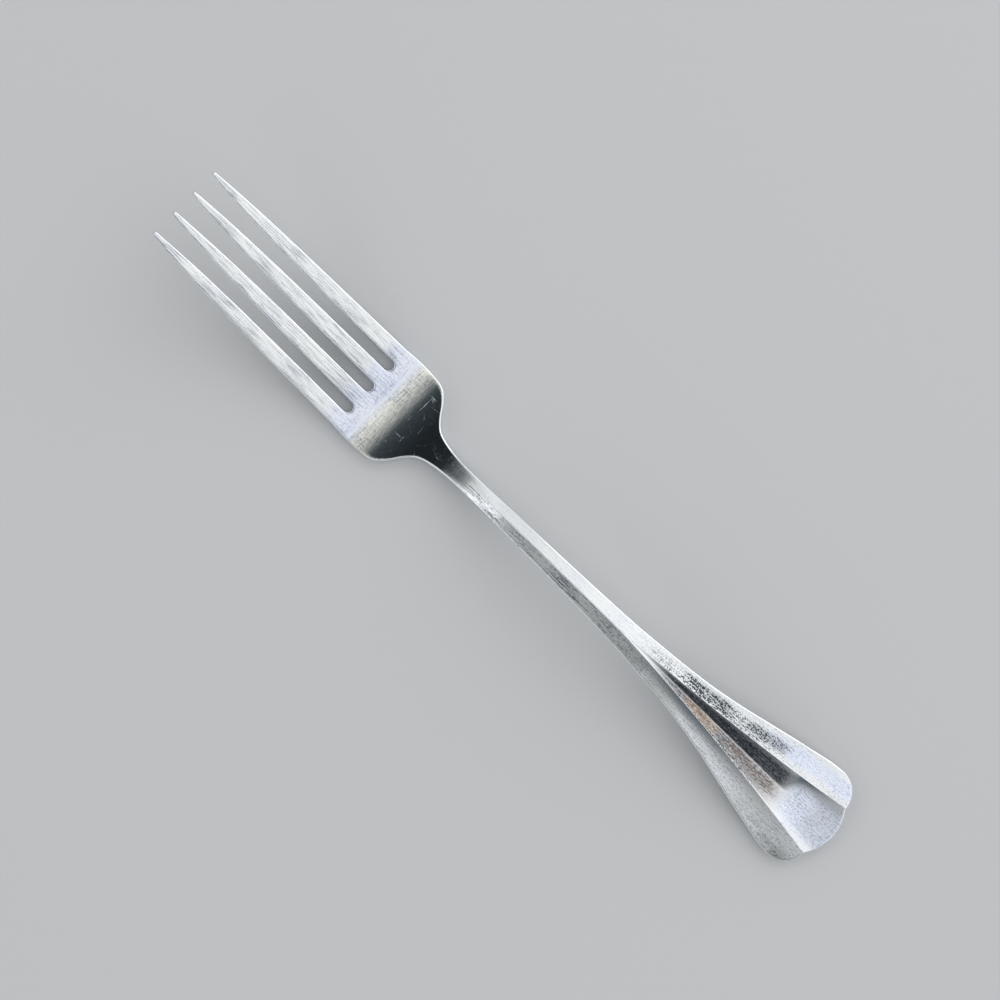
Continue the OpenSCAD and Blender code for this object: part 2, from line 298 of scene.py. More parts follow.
def step_back(k, r):
    return r * (1 - np.cos(math.pi / 2 * k / EDGE_N))


def edge_drop(depth, r):
    left = r - np.clip(depth, 0, r)
    return r - np.sqrt(r * r - left * left)


# Rows across the blank: each gives, for every column, the place along the blank, the place
# across it and the depth in from the nearest edge

def tine_middle(pitch):
    """For every column, the middle of its tine."""
    return (COLUMN // PERIOD - (TINES - 1) / 2) * pitch


def tine_x(pitch, w, r):
    """Columns across the tines and the slots between them."""
    m = COLUMN % PERIOD
    flat = lerp(-w / 2 + r, w / 2 - r, (m - EDGE_N) / FLAT_N)
    near = -w / 2 + step_back(m, r)
    far = w / 2 - step_back(TINE_COLS - m, r)
    slot = pitch / 2 - (pitch - w) / 2 * np.cos(math.pi * (m - TINE_COLS) / SLOT_N)
    tine = np.where(m <= EDGE_N, near, np.where(m <= EDGE_N + FLAT_N, flat, far))
    return tine_middle(pitch) + np.where(m <= TINE_COLS, tine, slot)


def tine_row(s, front):
    r, w, pitch = tine_r_at(s, front), tine_w_at(s), pitch_at(s)
    x = tine_x(pitch, w, r)
    return s + 0 * x, x, np.minimum(w / 2 - np.abs(x - tine_middle(pitch)), s)


def slot_row(share, front):
    """A row that bows round the slots' ends, a share of the edge radius behind them."""
    r = tine_r_at(TINE_L, front)
    x = tine_x(ROOT_PITCH, TINE_W, r)
    inset = share * r
    slots = (np.arange(TINES - 1) - (TINES - 2) / 2) * ROOT_PITCH
    off = np.abs(x[:, None] - slots[None, :]).min(axis=1)
    ahead = np.maximum(np.sqrt(np.maximum(0, (SLOT_R + inset) ** 2 - off ** 2)), inset)
    return TINE_L + ahead, x, np.minimum(ROOT_HALF - np.abs(x), np.hypot(off, ahead) - SLOT_R)


def crease_x_at(s):
    u = np.clip((s - SPLIT_S) / (NOTCH_S - SPLIT_S), 0, 1)
    return lerp(RIDGE_LAND / 2, NOTCH_X, lerp(u * u, u, CREASE_LINE_SHARE))


def body_row(s, front):
    r, half, crease = body_r_at(s, front), half_at(s), crease_x_at(s)
    groove = crease * FROM_MIDDLE / CREASE_N
    lobe = lerp(crease, half - r, (FROM_MIDDLE - CREASE_N) / LOBE_COLS)
    edge = half - step_back(MID - FROM_MIDDLE, r)
    swept = np.where(FROM_MIDDLE <= CREASE_N, groove, np.where(FROM_MIDDLE <= MID - EDGE_N, lobe, edge))
    head = tine_x(ROOT_PITCH, TINE_W, r) * half / ROOT_HALF
    x = lerp(head, swept * SIDE, past(s, PALM_S, SHOULDER_L))
    return s + 0 * x, x, half - np.abs(x)


def end_row(share, front):
    """A row along the fan's outline, a share of the edge radius in from it."""
    r = body_r_at(LOBE_S, front)
    inset = share * r
    bow = math.asin(NOTCH_X / END_R) * FROM_MIDDLE / CREASE_N
    bow_s, bow_x = END_S - END_R + (END_R - inset) * np.cos(bow), (END_R - inset) * np.sin(bow)
    step = step_back(MID - FROM_MIDDLE, r)
    turn = lerp(math.pi / 2, (r - inset) / LOBE_R, (FROM_MIDDLE - CREASE_N) / LOBE_COLS)
    in_edge = FROM_MIDDLE > MID - EDGE_N
    depth = np.where(in_edge, np.minimum(step, inset), inset)
    turn = np.where(in_edge, np.maximum(step - inset, 0) / LOBE_R, turn)
    before = np.where(in_edge, np.minimum(step - inset, 0), 0)
    lobe_s = LOBE_S + before + (LOBE_R - depth) * np.sin(turn)
    lobe_x = NOTCH_X + (LOBE_R - depth) * np.cos(turn)
    in_bow = FROM_MIDDLE < CREASE_N
    return np.where(in_bow, bow_s, lobe_s), np.where(in_bow, bow_x, lobe_x) * SIDE, depth


def between_rows(t, front):
    """A row between the last straight one and the fan's outline."""
    return tuple(lerp(a, b, t) for a, b in zip(body_row(FAN_END_S, front), end_row(1, front)))


def spaced(start, end):
    """Evenly spaced places after start, up to end."""
    return np.linspace(start, end, math.ceil((end - start) / ROW_GAP) + 1)[1:]


FAN_END_ROWS = math.ceil(3 * LOBE_R / ROW_GAP)
EDGE_SHARES = [1 - math.cos(math.pi / 2 * k / EDGE_N) for k in range(EDGE_N + 1)]
TIP_SHARES = [0, 0.02, 0.08, 0.18, 0.34, 0.56, 0.78]


def blank_rows(front):
    """All rows from the tips to the fan's end, and the number of the first behind the tines."""
    rows = [tine_row(share * TIP_ROUND_L, front) for share in TIP_SHARES]
    rows += [tine_row(s, front) for s in [TIP_ROUND_L, *spaced(TIP_ROUND_L, TINE_L)[:-1]]]
    first_whole = len(rows)
    rows += [slot_row(share, front) for share in EDGE_SHARES]
    rows += [body_row(s, front) for s in [PALM_START_S, *spaced(PALM_START_S, FAN_END_S)]]
    rows += [between_rows(t, front) for t in np.linspace(0, 1, FAN_END_ROWS)[1:]]
    rows += [end_row(share, front) for share in EDGE_SHARES[-2::-1]]
    return first_whole, [np.array(part) for part in zip(*rows)]


# Relief of the front and crown of the back

def pan_at(s):
    return past(s, NOTCH_S - PAN_L, PAN_STEP_L)


def hollow_at(s):
    return past(s, SPLIT_S, FAN_L * HOLLOW_FULL_SHARE)


def valley_at(s):
    full = VALLEY_DEPTH * past(s, SPLIT_S, FAN_L * VALLEY_FULL_SHARE)
    return lerp(full, PAN_DEPTH, pan_at(s))


def relief_at(s):
    """A ridge with two facets, which splits into two creases with a sunk valley between them
    and hollow lobes outside them."""
    g = np.minimum(1, FROM_MIDDLE / CREASE_N)
    u = np.clip((FROM_MIDDLE - CREASE_N) / LOBE_COLS, 0, 1)
    raised = RIDGE_H * past(s, NECK_S + RIDGE_START_L, RIDGE_RISE_L)
    valley = valley_at(s) * (1 - g ** lerp(1, PAN_POWER, pan_at(s)))
    return np.where(FROM_MIDDLE < CREASE_N, raised - valley, raised * lerp(1 - u, (1 - u) ** 2, hollow_at(s)))


def crown_at(s, x):
    v = np.minimum(1, np.abs(x) / half_at(s))
    return BACK_CROWN * past(s, PALM_S, SHOULDER_L) * (1 - v * v)


def polish_at(s, x):
    """Years of polishing have rounded the front of the neck."""
    v = np.minimum(1, np.abs(x) / half_at(s))
    return NECK_POLISH * v ** NECK_POLISH_POWER * band(s, *NECK_POLISHED)


def height(s, x, depth, front):
    r = np.where(s <= TINE_L, tine_r_at(s, front), body_r_at(s, front))
    drop = edge_drop(depth, r)
    if front:
        return thick_at(s) / 2 + relief_at(s) - polish_at(s, x) - drop
    return drop - thick_at(s) / 2 - crown_at(s, x)


# Bending: the side profile is a run of arcs, and the fork then tips until it rests on its
# heel and its fan end

STRETCHES = [
    (TINE_L, TINE_TURN), (HEEL_L, HEEL_TURN), (ARCH_L, -ARCH_TURN),
    (END_S - TINE_L - HEEL_L - ARCH_L - END_TURN_L, 0), (END_TURN_L, END_TURN),
]

# The search for the pitch at which the fork rests: how far it looks, in degrees, how often it
# halves that, and at how many places it looks for the lowest point
PITCH_LIMIT = 30
HALVINGS = 24
UNDER_STEPS = 91


def bend(s, rise):
    """Side view of a point on the blank: along the table, and up from it."""
    along = np.zeros_like(s)
    up = np.zeros_like(s)
    heading = np.full_like(s, math.radians(-TINE_TURN))
    begun = 0
    for length, turn in STRETCHES:
        run = np.clip(s - begun, 0, length)
        turned = heading + math.radians(turn) * run / length
        chord = run * np.sinc((turned - heading) / 2 / math.pi)
        middle = (heading + turned) / 2
        along = along - chord * np.cos(middle)
        up = up + chord * np.sin(middle)
        heading = turned
        begun += length
    return along + rise * np.sin(heading), up + rise * np.cos(heading)


def tipped(along, up, pitch):
    return along * np.cos(pitch) - up * np.sin(pitch), along * np.sin(pitch) + up * np.cos(pitch)


def lowest(start, end, pitch):
    s = np.linspace(start, end, UNDER_STEPS)
    under = bend(s, -thick_at(s) / 2 - crown_at(s, 0 * s))
    return tipped(*under, pitch)[1].min()


def rest_pitch():
    low, high = math.radians(-PITCH_LIMIT), math.radians(PITCH_LIMIT)
    for _ in range(HALVINGS):
        pitch = (low + high) / 2
        if lowest(0, NECK_S, pitch) > lowest(NECK_S, END_S, pitch):
            high = pitch
        else:
            low = pitch
    return (low + high) / 2


# Wear, painted shade and painted reflection tints: what the finish follows, worked out for every point of the
# mesh

# Stretches along the blank, in millimetres from the tips: start, end and the fade beyond them
HEEL_MIRROR = (PALM_S + 2, NECK_S - 6, 6)
HEEL_RUBBED = (PALM_S + 6.5, NECK_S - 6, 5)
# The lavender and cream bands on the head are painted reflection tints
HEAD_LAVENDER_REFLECTION = (58, 62.3, 4)
HEAD_LINE = (63.3, 63.7, 0.7)
HEAD_CREAM_REFLECTION = (65.5, 70, 2)
WALL_BROWN = (162.5, 170, 3)

# Changes along the blank, in millimetres from the tips: where one begins, and its length
PAST_TINES = (TINE_L - 2, 4)
PAST_LINE = (63, 2)
PALM_SMOOTH = (PALM_S - 1, 5)
ON_HANDLE = (NECK_S - 2, 8)
ON_CREST = (NECK_S + RIDGE_START_L, 6)
ON_SHANK = (108, 14)
IN_FAN = (SPLIT_S, 14)
TARNISH_STARTS = (146, 12)
WALL_BROWNISH = (173, 5)
# The lobes' lavender, which begins here, is a painted reflection tint
LOBE_LAVENDER_REFLECTION = (LOBE_S - 26, 14)
LEFT_TARNISH_ENDS = (188, 8)
RIGHT_TARNISH_ENDS = (190, 4)
PAN_FILMED = (196, 8)

# Stretches in which the streaks change, in millimetres from the tips: start and end
BLOTCHES_BEGIN = (TINE_L - 3, TINE_L + 1)
CROSSING_BEGINS = (TINE_L, TINE_L + 7)
CROSSING_ENDS = (NECK_S - 6, NECK_S)
SPECKS_BEGIN = (SPLIT_S, SPLIT_S + 14)

# Places across, in shares: of a tine's half width out from its middle, of the way from the
# valley's middle to a crease, and of a lobe's width out from its crease. A change has its start
# and its length, and a band has its start, its end and its fade.
# More cloud on the left of each tine is painted shade, on the side away from the light
SHADED_TINE_LEFT_SHARES = (0.3, 1)
PAN_RIM_SHARES = (0.55, 0.45)
RIGHT_WALL_TOP_SHARES = (0.7, 0.3)
LEFT_WALL_HIGH_SHARES = (0.5, 0.3)
LEFT_WALL_TOP_SHARES = (0.88, 0.12)
LOBE_CLOUD_SHARES = (0.12, 0.5, 0.3)
# Across the lobes, a painted lavender reflection tint
LOBE_LAVENDER_REFLECTION_SHARES = (0.35, 0.7, 0.2)

# Patches of the fan: a stretch along the blank, and a band across a lobe or a wall
LOBE_FILM = (162, 168, 6), (0.3, 0.6, 0.3)
LOBE_END_FILM = (178, 184, 5), (0.35, 0.5, 0.25)
WALL_CLOUD = (158, 184, 6), (0.72, 0.92, 0.15)

# Clouds along the right lobe, and painted shade as grey film along the left facet of the handle
# and the left lobe, as places in millimetres from the tips and how strong each is there
RIGHT_LOBE_CLOUDS = [
    (142, 0.05), (148, 0.3), (155, 0.55), (160, 1.3), (168, 1.3), (172.5, 0.5), (184, 0.5),
    (189, 0.05), (209, 0.05),
]
LEFT_PAINTED_SHADE = [
    (96, 0), (106, 0.02), (122, 0.04), (142, 0.17), (150, 0.2), (172, 0.14), (184, 0.17),
    (196, 0.33), (209, 0.33),
]

# How strong each kind of wear, painted shade and painted reflection tint is on each part of the front
HAZE = {"tines": 0.18, "head": 0.13, "heel": 0.07, "handle": 0.16, "crest": 0.5}
BRUSHED = {"tines": 0.22, "head": 0.3, "neck": 0.05, "shank": 0.2, "pan": 0.08}
# The film on the left, strongest at the left lobe's rim, is painted shade
FILM_AND_SHADE = {
    "crease": 0.2, "rim": 1.6, "right": 0.05, "patch": 0.42, "end_patch": 0.38, "pan": 0.02,
    "pan_end": 0.2,
}
# More cloud on the tines' left sides and on the left facet than on the right is painted shade
CLOUD_AND_SHADE = {
    "tines": 0.16, "shaded_tine_lefts": 0.3, "head": 0.2, "right_facet": 0.05, "right_lobe": 0.14,
    "shaded_left_facet": 0.42, "left_lobe": 0.2, "left_wall": 0.9, "pan": 0.24,
}
MARKS = {
    "tines": 0.35, "head": 0.18, "past_line": 0.34, "right": 0.1, "shaded_left_facet": 0.3, "left_lobe": 0.1,
    "pan": 0.08,
}
TARNISH = {"middle": 0.5, "left_wall_high": 0.6, "left_wall_top": 0.3}
BROWN = {"wall": 0.15, "patch": 0.8, "brownish": 0.2}
# Beyond the plain tone, the lavender and cream are painted reflection tints, strongest on the right lobe
TONE_AND_REFLECTION_TINT = {"plain": 0.34, "lavender": 0.36, "cream": -0.3, "pan": 0.36, "right_lobe": 0.4, "left_lobe": 0.05}

# The back is worn alike all over. Its patterns are taken from a place that the front doesn't use.
BACK_WEAR = {
    "haze": 0.18, "brushed": 0.2, "film": 0.04, "cloud": 0.25, "marks": 0.4, "tarnish": 0, "brown": 0,
    "blue": 0.3,
}
PATTERN_GAP = 40


def patch(s, share, where):
    stretch, shares = where
    return band(s, *stretch) * band(share, *shares)


def front_places(s, x):
    """How far each point of the front belongs to the tines, the handle, the fan and the floor of
    its pan, from 0 to 1, and where it lies across a tine, the valley and a lobe."""
    crease = crease_x_at(s)
    groove = np.abs(x) / crease
    lobe = np.clip((np.abs(x) - crease) / (half_at(s) - crease), 0, 1)
    return SimpleNamespace(
        s=s, right=x > 0, groove=groove, lobe=lobe, on_lobe=lobe > 0,
        across_tine=(x - tine_middle(pitch_at(s))) / tine_w_at(s) * 2,
        tines=1 - past(s, *PAST_TINES), handle=past(s, *ON_HANDLE), fan=past(s, *IN_FAN),
        pan=pan_at(s) * (1 - past(groove, *PAN_RIM_SHARES)),
    )


def haze_on(at):
    """Roughness: least on the heel, and most on the worn crest of the ridge."""
    haze = lerp(lerp(HAZE["head"], HAZE["tines"], at.tines), HAZE["handle"], at.handle)
    haze = lerp(haze, HAZE["heel"], band(at.s, *HEEL_MIRROR))
    crest = past(at.s, *ON_CREST) * (at.s < SPLIT_S) * (FROM_MIDDLE <= CREASE_N)
    return lerp(haze, HAZE["crest"], crest)


def brushed_on(at):
    """Depth of the lines from wiping: deepest on the head."""
    handle = lerp(BRUSHED["neck"], BRUSHED["shank"], past(at.s, *ON_SHANK))
    handle = lerp(handle, BRUSHED["pan"], at.pan)
    return lerp(lerp(BRUSHED["head"], BRUSHED["tines"], at.tines), handle, past(at.s, *PALM_SMOOTH))


def film_and_shade_on(at):
    """Grey film in two patches of the right lobe, greyer towards the pan's end, and painted shade
    as grey film on the left, away from the light, more towards the lobe's rim."""
    left = curve(LEFT_PAINTED_SHADE, at.s) * lerp(1, lerp(FILM_AND_SHADE["crease"], FILM_AND_SHADE["rim"], at.lobe), at.fan)
    right = FILM_AND_SHADE["right"] + FILM_AND_SHADE["patch"] * patch(at.s, at.lobe, LOBE_FILM)
    right = right + FILM_AND_SHADE["end_patch"] * patch(at.s, at.lobe, LOBE_END_FILM)
    handle = np.where(at.right, right * at.fan, left) * at.on_lobe * at.handle
    return lerp(handle, lerp(FILM_AND_SHADE["pan"], FILM_AND_SHADE["pan_end"], past(at.s, *PAN_FILMED)), at.pan)


def cloud_and_shade_on(at):
    """Blue-grey clouds along the right lobe and high on the valley's left wall, with a clear line
    across the head, and painted shade as more cloud on the left of each tine and on the left facet."""
    tines = CLOUD_AND_SHADE["tines"] + CLOUD_AND_SHADE["shaded_tine_lefts"] * past(-at.across_tine, *SHADED_TINE_LEFT_SHARES)
    head = CLOUD_AND_SHADE["head"] * (1 - band(at.s, *HEAD_LINE))
    right_lobe = CLOUD_AND_SHADE["right_lobe"] + curve(RIGHT_LOBE_CLOUDS, at.s) * band(at.lobe, *LOBE_CLOUD_SHARES)
    right = lerp(CLOUD_AND_SHADE["right_facet"], right_lobe, at.fan)
    left = lerp(CLOUD_AND_SHADE["shaded_left_facet"], CLOUD_AND_SHADE["left_lobe"], at.fan)
    cloud = lerp(lerp(head, tines, at.tines), np.where(at.right, right, left) * at.on_lobe, at.handle)
    left_wall = CLOUD_AND_SHADE["left_wall"] * patch(at.s, at.groove, WALL_CLOUD)
    return lerp(cloud, CLOUD_AND_SHADE["pan"], at.pan) + np.where(at.right, 0, left_wall)


def marks_on(at):
    """Dark scores: most on the tines and on the head past its clear line."""
    head = lerp(MARKS["head"], MARKS["past_line"], past(at.s, *PAST_LINE)) * (1 - band(at.s, *HEAD_LINE))
    left = lerp(MARKS["shaded_left_facet"], MARKS["left_lobe"], at.fan)
    handle = np.where(at.right, MARKS["right"], left) * at.on_lobe
    return lerp(lerp(lerp(head, MARKS["tines"], at.tines), handle, at.handle), MARKS["pan"], at.pan)


def tarnish_on(at):
    """Tarnish on the valley's walls: thinner near their tops and along the middle, and gone
    where the pan begins."""
    right = (1 - past(at.groove, *RIGHT_WALL_TOP_SHARES)) * (1 - past(at.s, *RIGHT_TARNISH_ENDS))
    high = lerp(1, TARNISH["left_wall_high"], past(at.groove, *LEFT_WALL_HIGH_SHARES))
    top = lerp(1, TARNISH["left_wall_top"], past(at.groove, *LEFT_WALL_TOP_SHARES))
    left = high * top * (1 - past(at.s, *LEFT_TARNISH_ENDS))
    inside = np.where(FROM_MIDDLE == 0, TARNISH["middle"], at.groove < 1)
    return np.where(at.right, right, left) * past(at.s, *TARNISH_STARTS) * inside


def brown_on(at):
    """How brown the tarnish is: only on the left wall, and strongest in one patch."""
    brown = BROWN["wall"] + BROWN["patch"] * band(at.s, *WALL_BROWN)
    brown = brown + BROWN["brownish"] * past(at.s, *WALL_BROWNISH)
    return np.where(at.right, 0, brown)


def tone_and_reflection_tint_on(at):
    """The silver's cool tone all over, and painted reflection tints: lavender round the slots' ends,
    in the pan and at the lobes' ends, most on the right lobe, and cream behind the clear line on the head."""
    head = TONE_AND_REFLECTION_TINT["lavender"] * band(at.s, *HEAD_LAVENDER_REFLECTION) + TONE_AND_REFLECTION_TINT["cream"] * band(at.s, *HEAD_CREAM_REFLECTION)
    lobes = np.where(at.right, TONE_AND_REFLECTION_TINT["right_lobe"], TONE_AND_REFLECTION_TINT["left_lobe"]) * band(at.lobe, *LOBE_LAVENDER_REFLECTION_SHARES)
    return TONE_AND_REFLECTION_TINT["plain"] + TONE_AND_REFLECTION_TINT["pan"] * at.pan + head + lobes * past(at.s, *LOBE_LAVENDER_REFLECTION)


def wear_maps(s, x, depth, front):
    """Place on the blank and depth in from the edge, in millimetres; then how hazy, deeply
    brushed, filmed over, clouded, scored, tarnished and brown the metal is, with painted shade in
    the film and clouds, and its tone with painted reflection tints."""
    place = np.stack([x, s, 0 * s + (0 if front else PATTERN_GAP)], axis=-1)
    if not front:
        levels = {name: 0 * s + level for name, level in BACK_WEAR.items()}
        return {"place": place, "edge": depth, **levels}
    at = front_places(s, x)
    unrubbed = 1 - band(s, *HEEL_RUBBED)
    return {
        "place": place, "edge": depth, "haze": haze_on(at), "brushed": brushed_on(at),
        "film": film_and_shade_on(at) * unrubbed, "cloud": cloud_and_shade_on(at) * unrubbed, "marks": marks_on(at) * unrubbed,
        "tarnish": tarnish_on(at), "brown": brown_on(at), "blue": tone_and_reflection_tint_on(at),
    }


# The fork's mesh

def placed(blank, front, pitch, table):
    """Points of a skin of the blank, bent, tipped and set on the table."""
    s, x, depth = blank
    y, z = tipped(*bend(s, height(s, x, depth, front)), pitch)
    return np.stack([x, y, np.maximum(0, z - table)], axis=-1)


def skin_faces(rows, first_whole):
    """Quads of the front, the back and the walls between them. In front of the slots only the
    tines have cells."""
    row, col = np.meshgrid(np.arange(rows - 1), np.arange(COLS), indexing="ij")
    cell = np.zeros((rows + 1, COLS + 2), bool)
    cell[1:-1, 1:-1] = (row >= first_whole) | (col % PERIOD < TINE_COLS)
    here = cell[1:-1, 1:-1]
    a = row * (COLS + 1) + col
    b, c, d = a + 1, a + COLS + 2, a + COLS + 1
    under = rows * (COLS + 1)
    quads = [np.stack([q[here] for q in (a, d, c, b)], axis=1)]
    quads.append(np.stack([q[here] + under for q in (a, b, c, d)], axis=1))
    sides = [(a, b, cell[:-2, 1:-1]), (b, c, cell[1:-1, 2:]), (c, d, cell[2:, 1:-1]), (d, a, cell[1:-1, :-2])]
    for start, end, neighbour in sides:
        open_side = here & ~neighbour
        p, q = start[open_side], end[open_side]
        quads.append(np.stack([p, q, q + under, p + under], axis=1))
    return np.concatenate(quads)


def lay_wear(mesh, front_rows, back_rows, used):
    """Stores the wear, painted shade and painted reflection tints of the front and the back on the mesh's
    points.
    """
    skins = [wear_maps(*front_rows, True), wear_maps(*back_rows, False)]
    for name in skins[0]:
        values = np.concatenate([wear[name].reshape(front_rows[0].size, -1) for wear in skins])[used]
        kind, key = ("FLOAT_VECTOR", "vector") if values.shape[1] == 3 else ("FLOAT", "value")
        mesh.attributes.new(name, kind, "POINT").data.foreach_set(key, values.reshape(-1))


def crisp_creases(mesh, front_rows, back_rows, used):
    """Shades the fan's two creases as sharp lines."""
    on_crease = (FROM_MIDDLE == CREASE_N) & (front_rows[0] > SPLIT_S + SOFT_CREASE_L)
    on_crease = np.concatenate([on_crease.reshape(-1), np.zeros(back_rows[0].size, bool)])[used]
    ends = np.zeros(len(mesh.edges) * 2, int)
    mesh.edges.foreach_get("vertices", ends)
    crisp = on_crease[ends.reshape(-1, 2)].all(axis=1)
    mesh.attributes.new("sharp_edge", "BOOLEAN", "EDGE").data.foreach_set("value", crisp)


def fork_mesh():
    pitch = rest_pitch()
    table = min(lowest(0, NECK_S, pitch), lowest(NECK_S, END_S, pitch)) + REST_WEAR
    first_whole, front_rows = blank_rows(True)
    _, back_rows = blank_rows(False)
    points = np.concatenate([placed(front_rows, True, pitch, table), placed(back_rows, False, pitch, table)])
    used, faces = np.unique(skin_faces(len(front_rows[0]), first_whole), return_inverse=True)
    points = points.reshape(-1, 3)[used]
    low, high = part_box("fork")
    points[:, 1] += (low[1] + high[1]) / 2 / MM - (points[:, 1].min() + points[:, 1].max()) / 2
    mesh = bpy.data.meshes.new("fork_forging")
    mesh.from_pydata((points * MM).tolist(), [], faces.reshape(-1, 4).tolist())
    mesh.shade_smooth()
    lay_wear(mesh, front_rows, back_rows, used)
    crisp_creases(mesh, front_rows, back_rows, used)
    return mesh


fork = bpy.data.objects.new("fork_forging", fork_mesh())
bpy.context.scene.collection.objects.link(fork)
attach(fork, "root")
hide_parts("fork")


# Materials

def hex_colour(text):
    """sRGB hex to the linear colour that a shader takes."""
    parts = [int(text[i:i + 2], 16) / 255 for i in (1, 3, 5)]
    return [p / 12.92 if p <= 0.04045 else ((p + 0.055) / 1.055) ** 2.4 for p in parts] + [1]


def emptied_tree(owner):
    """The node tree of a material or a world, with nothing in it."""
    owner.use_nodes = True
    owner.node_tree.nodes.clear()
    return owner.node_tree


def add(tree, kind, inputs=(), **settings):
    """Adds a shader node. Inputs are links or values, in the sockets' order or by name."""
    node = tree.nodes.new("ShaderNode" + kind)
    for name, value in settings.items():
        setattr(node, name, value)
    for name, value in inputs.items() if isinstance(inputs, dict) else enumerate(inputs):
        if isinstance(value, bpy.types.Node):
            value = value.outputs[0]
        if isinstance(value, bpy.types.NodeSocket):
            tree.links.new(value, node.inputs[name])
        elif value is not None:
            node.inputs[name].default_value = value
    return node


def plate_patterns(tree, place):
    """Lines wiped along and across, clouds, scores, wide patches and specks. The real lines and
    specks are finer than a dot of the picture, so these are drawn up to two dots wide."""
    wipes = add(tree, "Mapping", {"Vector": place, "Scale": (1 / WIPE_W, 1 / WIPE_L, 1)})
    crosses = add(tree, "Mapping", {"Vector": place, "Scale": (1 / CROSS_W, 1 / CROSS_L, 1)})
    short = add(tree, "Mapping", {"Vector": place, "Scale": (1 / CLOUD_W, 1 / CLOUD_L, 1)})
    long = add(tree, "Mapping", {"Vector": place, "Scale": (1 / SCORE_W, 1 / SCORE_L, 1)})
    return SimpleNamespace(
        wiped=add(tree, "TexNoise", {"Vector": wipes, "Scale": 1, "Detail": 2, "Roughness": 0.6}),
        crossed=add(tree, "TexNoise", {"Vector": crosses, "Scale": 1, "Detail": 2, "Roughness": 0.6}),
        clouds=add(tree, "TexNoise", {"Vector": short, "Scale": 1, "Detail": 3, "Roughness": 0.7}),
        scores=add(tree, "TexNoise", {"Vector": long, "Scale": 1, "Detail": 1}),
        patches=add(tree, "TexNoise", {"Vector": place, "Scale": 1 / PATCH_W, "Detail": 3}),
        specks=add(tree, "TexNoise", {"Vector": place, "Scale": 1 / SPECK_W, "Detail": 1}),
    )


def plate_streaks(tree, patterns, along, crosswise):
    """Streaks: lengthwise on the tines and the handle, crosswise on the flat of the head, and
    partly specks on the fan."""
    in_fan = add(tree, "MapRange", [along, *SPECKS_BEGIN, 0, 0.3])
    on_tines = add(tree, "MapRange", [along, *BLOTCHES_BEGIN, 0.75, 0])
    lined = add(tree, "Mix", {"Factor": crosswise, "A": patterns.wiped, "B": patterns.crossed})
    lined = add(tree, "Mix", {"Factor": in_fan, "A": lined, "B": patterns.specks})
    blotched = add(tree, "Mix", {"Factor": on_tines, "A": patterns.clouds, "B": patterns.wiped})
    return add(tree, "Math", [lined, blotched], operation="ADD")


def plate_clouding_and_shade(tree, patterns, wear, crosswise, wide):
    """Clouds where the streaks, patches and specks add up, an uneven film, and dark scores in
    clusters; the film and clouds also carry painted shade on the left sides. All are rubbed off along the
    edges."""
    grainy = add(tree, "Math", [patterns.specks, 0.4, wide], operation="MULTIPLY_ADD")
    heavy = add(tree, "MapRange", [grainy, 1.35, 1.69, 0, 1.9])
    uneven = add(tree, "MapRange", [patterns.patches, 0.35, 0.65, 1.5, 0.5])
    filmed_and_shaded = add(tree, "Math", [wear.film, uneven], operation="MULTIPLY")
    clouded_and_shaded = add(tree, "Math", [wear.cloud, heavy, filmed_and_shaded], operation="MULTIPLY_ADD")
    scored = add(tree, "MapRange", [patterns.scores, 0.52, 0.66, 0, 1])
    crossings = add(tree, "MapRange", [patterns.crossed, 0.54, 0.68, 0, crosswise])
    scored = add(tree, "Math", [scored, crossings], operation="MAXIMUM")
    clusters = add(tree, "MapRange", [patterns.patches, 0.44, 0.62, 0.5, 1.2])
    scored = add(tree, "Math", [scored, clusters], operation="MULTIPLY")
    clouded_and_shaded = add(tree, "Math", [scored, wear.marks, clouded_and_shaded], operation="MULTIPLY_ADD")
    inside = add(tree, "MapRange", [wear.edge, *RUBBED_EDGE, 0.2, 1])
    return add(tree, "Math", [clouded_and_shaded, inside], operation="MULTIPLY", use_clamp=True)


def plate_scratches(tree, patterns, place):
    """Bright scratches: hairlines wherever the wide patches pass their middle, nicks, and a few
    long ones on the heel. The clouds break them up."""
    hair = add(tree, "Math", [patterns.patches, 0.5], operation="SUBTRACT")
    hair = add(tree, "Math", [hair], operation="ABSOLUTE")
    scratched = add(tree, "MapRange", [hair, 0.0005, 0.0015, 0.5, 0])
    nicks = add(tree, "MapRange", [patterns.specks, 0.62, 0.74, 0, 0.4])
    scratched = add(tree, "Math", [scratched, nicks], operation="MAXIMUM")
    for (x0, s0), (x1, s1), width in SCRATCHES:
        middle = ((x0 + x1) / 2, (s0 + s1) / 2, 0)
        half_length = math.hypot(x1 - x0, s1 - s0) / 2
        angle = math.atan2(s0 - s1, x1 - x0)
        moved = add(tree, "VectorMath", [place, middle], operation="SUBTRACT")
        turned = add(tree, "VectorRotate", {"Vector": moved, "Angle": angle}, rotation_type="Z_AXIS")
        shrunk = add(tree, "VectorMath", [turned, (1 / half_length, 1 / width, 1)], operation="MULTIPLY")
        way = add(tree, "VectorMath", [shrunk], operation="LENGTH").outputs["Value"]
        scratch = add(tree, "MapRange", [way, 0.4, 1.2, 1, 0])
        scratched = add(tree, "Math", [scratched, scratch], operation="MAXIMUM")
    broken = add(tree, "MapRange", [patterns.clouds, 0.35, 0.6, 0.2, 1])
    return add(tree, "Math", [scratched, broken], operation="MULTIPLY")


